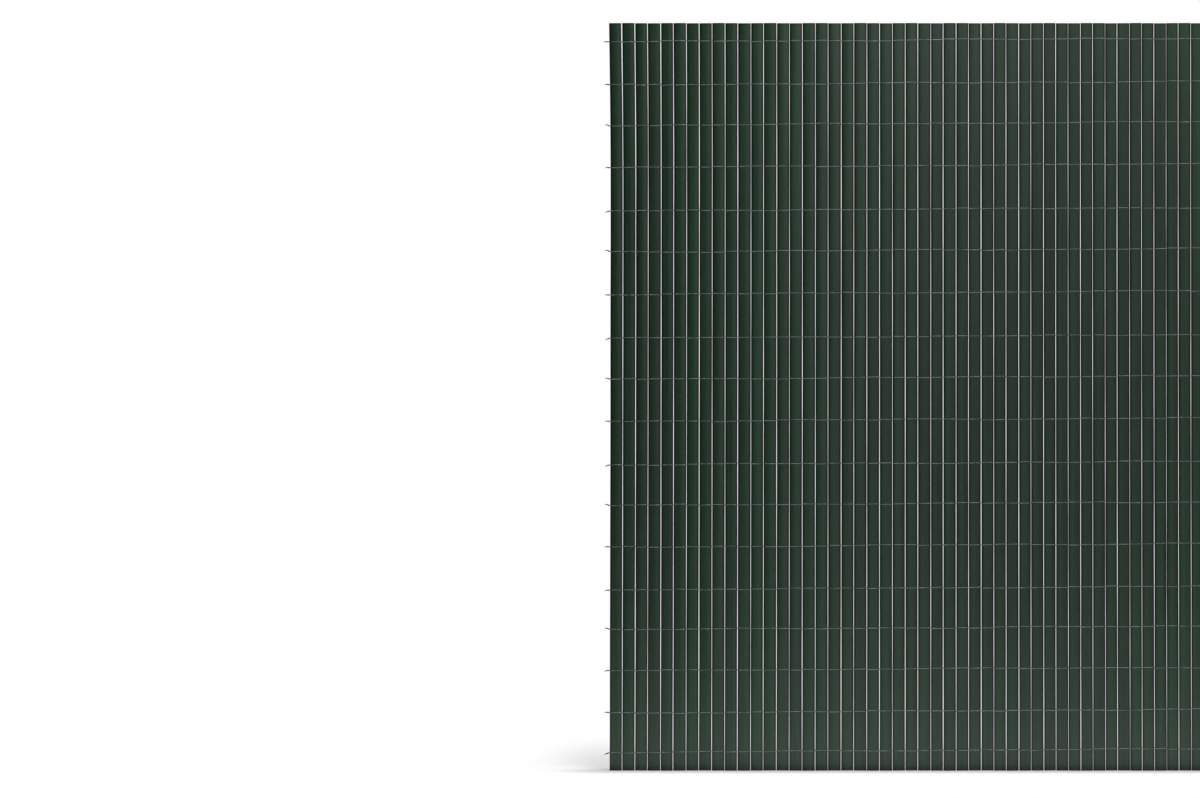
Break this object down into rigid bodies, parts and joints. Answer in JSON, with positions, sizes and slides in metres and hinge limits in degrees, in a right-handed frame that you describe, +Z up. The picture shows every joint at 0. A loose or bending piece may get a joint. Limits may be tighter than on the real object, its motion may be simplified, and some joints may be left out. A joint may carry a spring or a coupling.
{
  "type": "pvc screening mat",
  "caption": "Screening mat of upright hollow plastic strips bound side by side by rows of thread, tied to a fence or railing as a screen.",
  "frame": {"origin": "middle of the lower edge, halfway through the mat's thickness", "axes": "+X along the mat to the right as seen from its front, -Y out of its front, +Z up along the strips"},
  "size_m": [0.7558, 0.006, 0.9],
  "materials": {
    "strip_pvc": "dark green extruded PVC, satin, with fine drawn lines",
    "binding_thread": "grey-green twined synthetic thread"
  },
  "bodies": {
    "root": {"strip_01": "strip_pvc", "strip_02": "strip_pvc", "strip_03": "strip_pvc", "strip_04": "strip_pvc", "strip_05": "strip_pvc", "strip_06": "strip_pvc", "strip_07": "strip_pvc", "strip_08": "strip_pvc", "strip_09": "strip_pvc", "strip_10": "strip_pvc", "strip_11": "strip_pvc", "strip_12": "strip_pvc", "strip_13": "strip_pvc", "strip_14": "strip_pvc", "strip_15": "strip_pvc", "strip_16": "strip_pvc", "strip_17": "strip_pvc", "strip_18": "strip_pvc", "strip_19": "strip_pvc", "strip_20": "strip_pvc", "strip_21": "strip_pvc", "strip_22": "strip_pvc", "strip_23": "strip_pvc", "strip_24": "strip_pvc", "strip_25": "strip_pvc", "strip_26": "strip_pvc", "strip_27": "strip_pvc", "strip_28": "strip_pvc", "strip_29": "strip_pvc", "strip_30": "strip_pvc", "strip_31": "strip_pvc", "strip_32": "strip_pvc", "strip_33": "strip_pvc", "strip_34": "strip_pvc", "strip_35": "strip_pvc", "strip_36": "strip_pvc", "strip_37": "strip_pvc", "strip_38": "strip_pvc", "strip_39": "strip_pvc", "strip_40": "strip_pvc", "strip_41": "strip_pvc", "strip_42": "strip_pvc", "strip_43": "strip_pvc", "strip_44": "strip_pvc", "strip_45": "strip_pvc", "strip_46": "strip_pvc", "strip_47": "strip_pvc", "strip_48": "strip_pvc", "strip_49": "strip_pvc", "binding_cords": "binding_thread"}
  },
  "joints": []
}
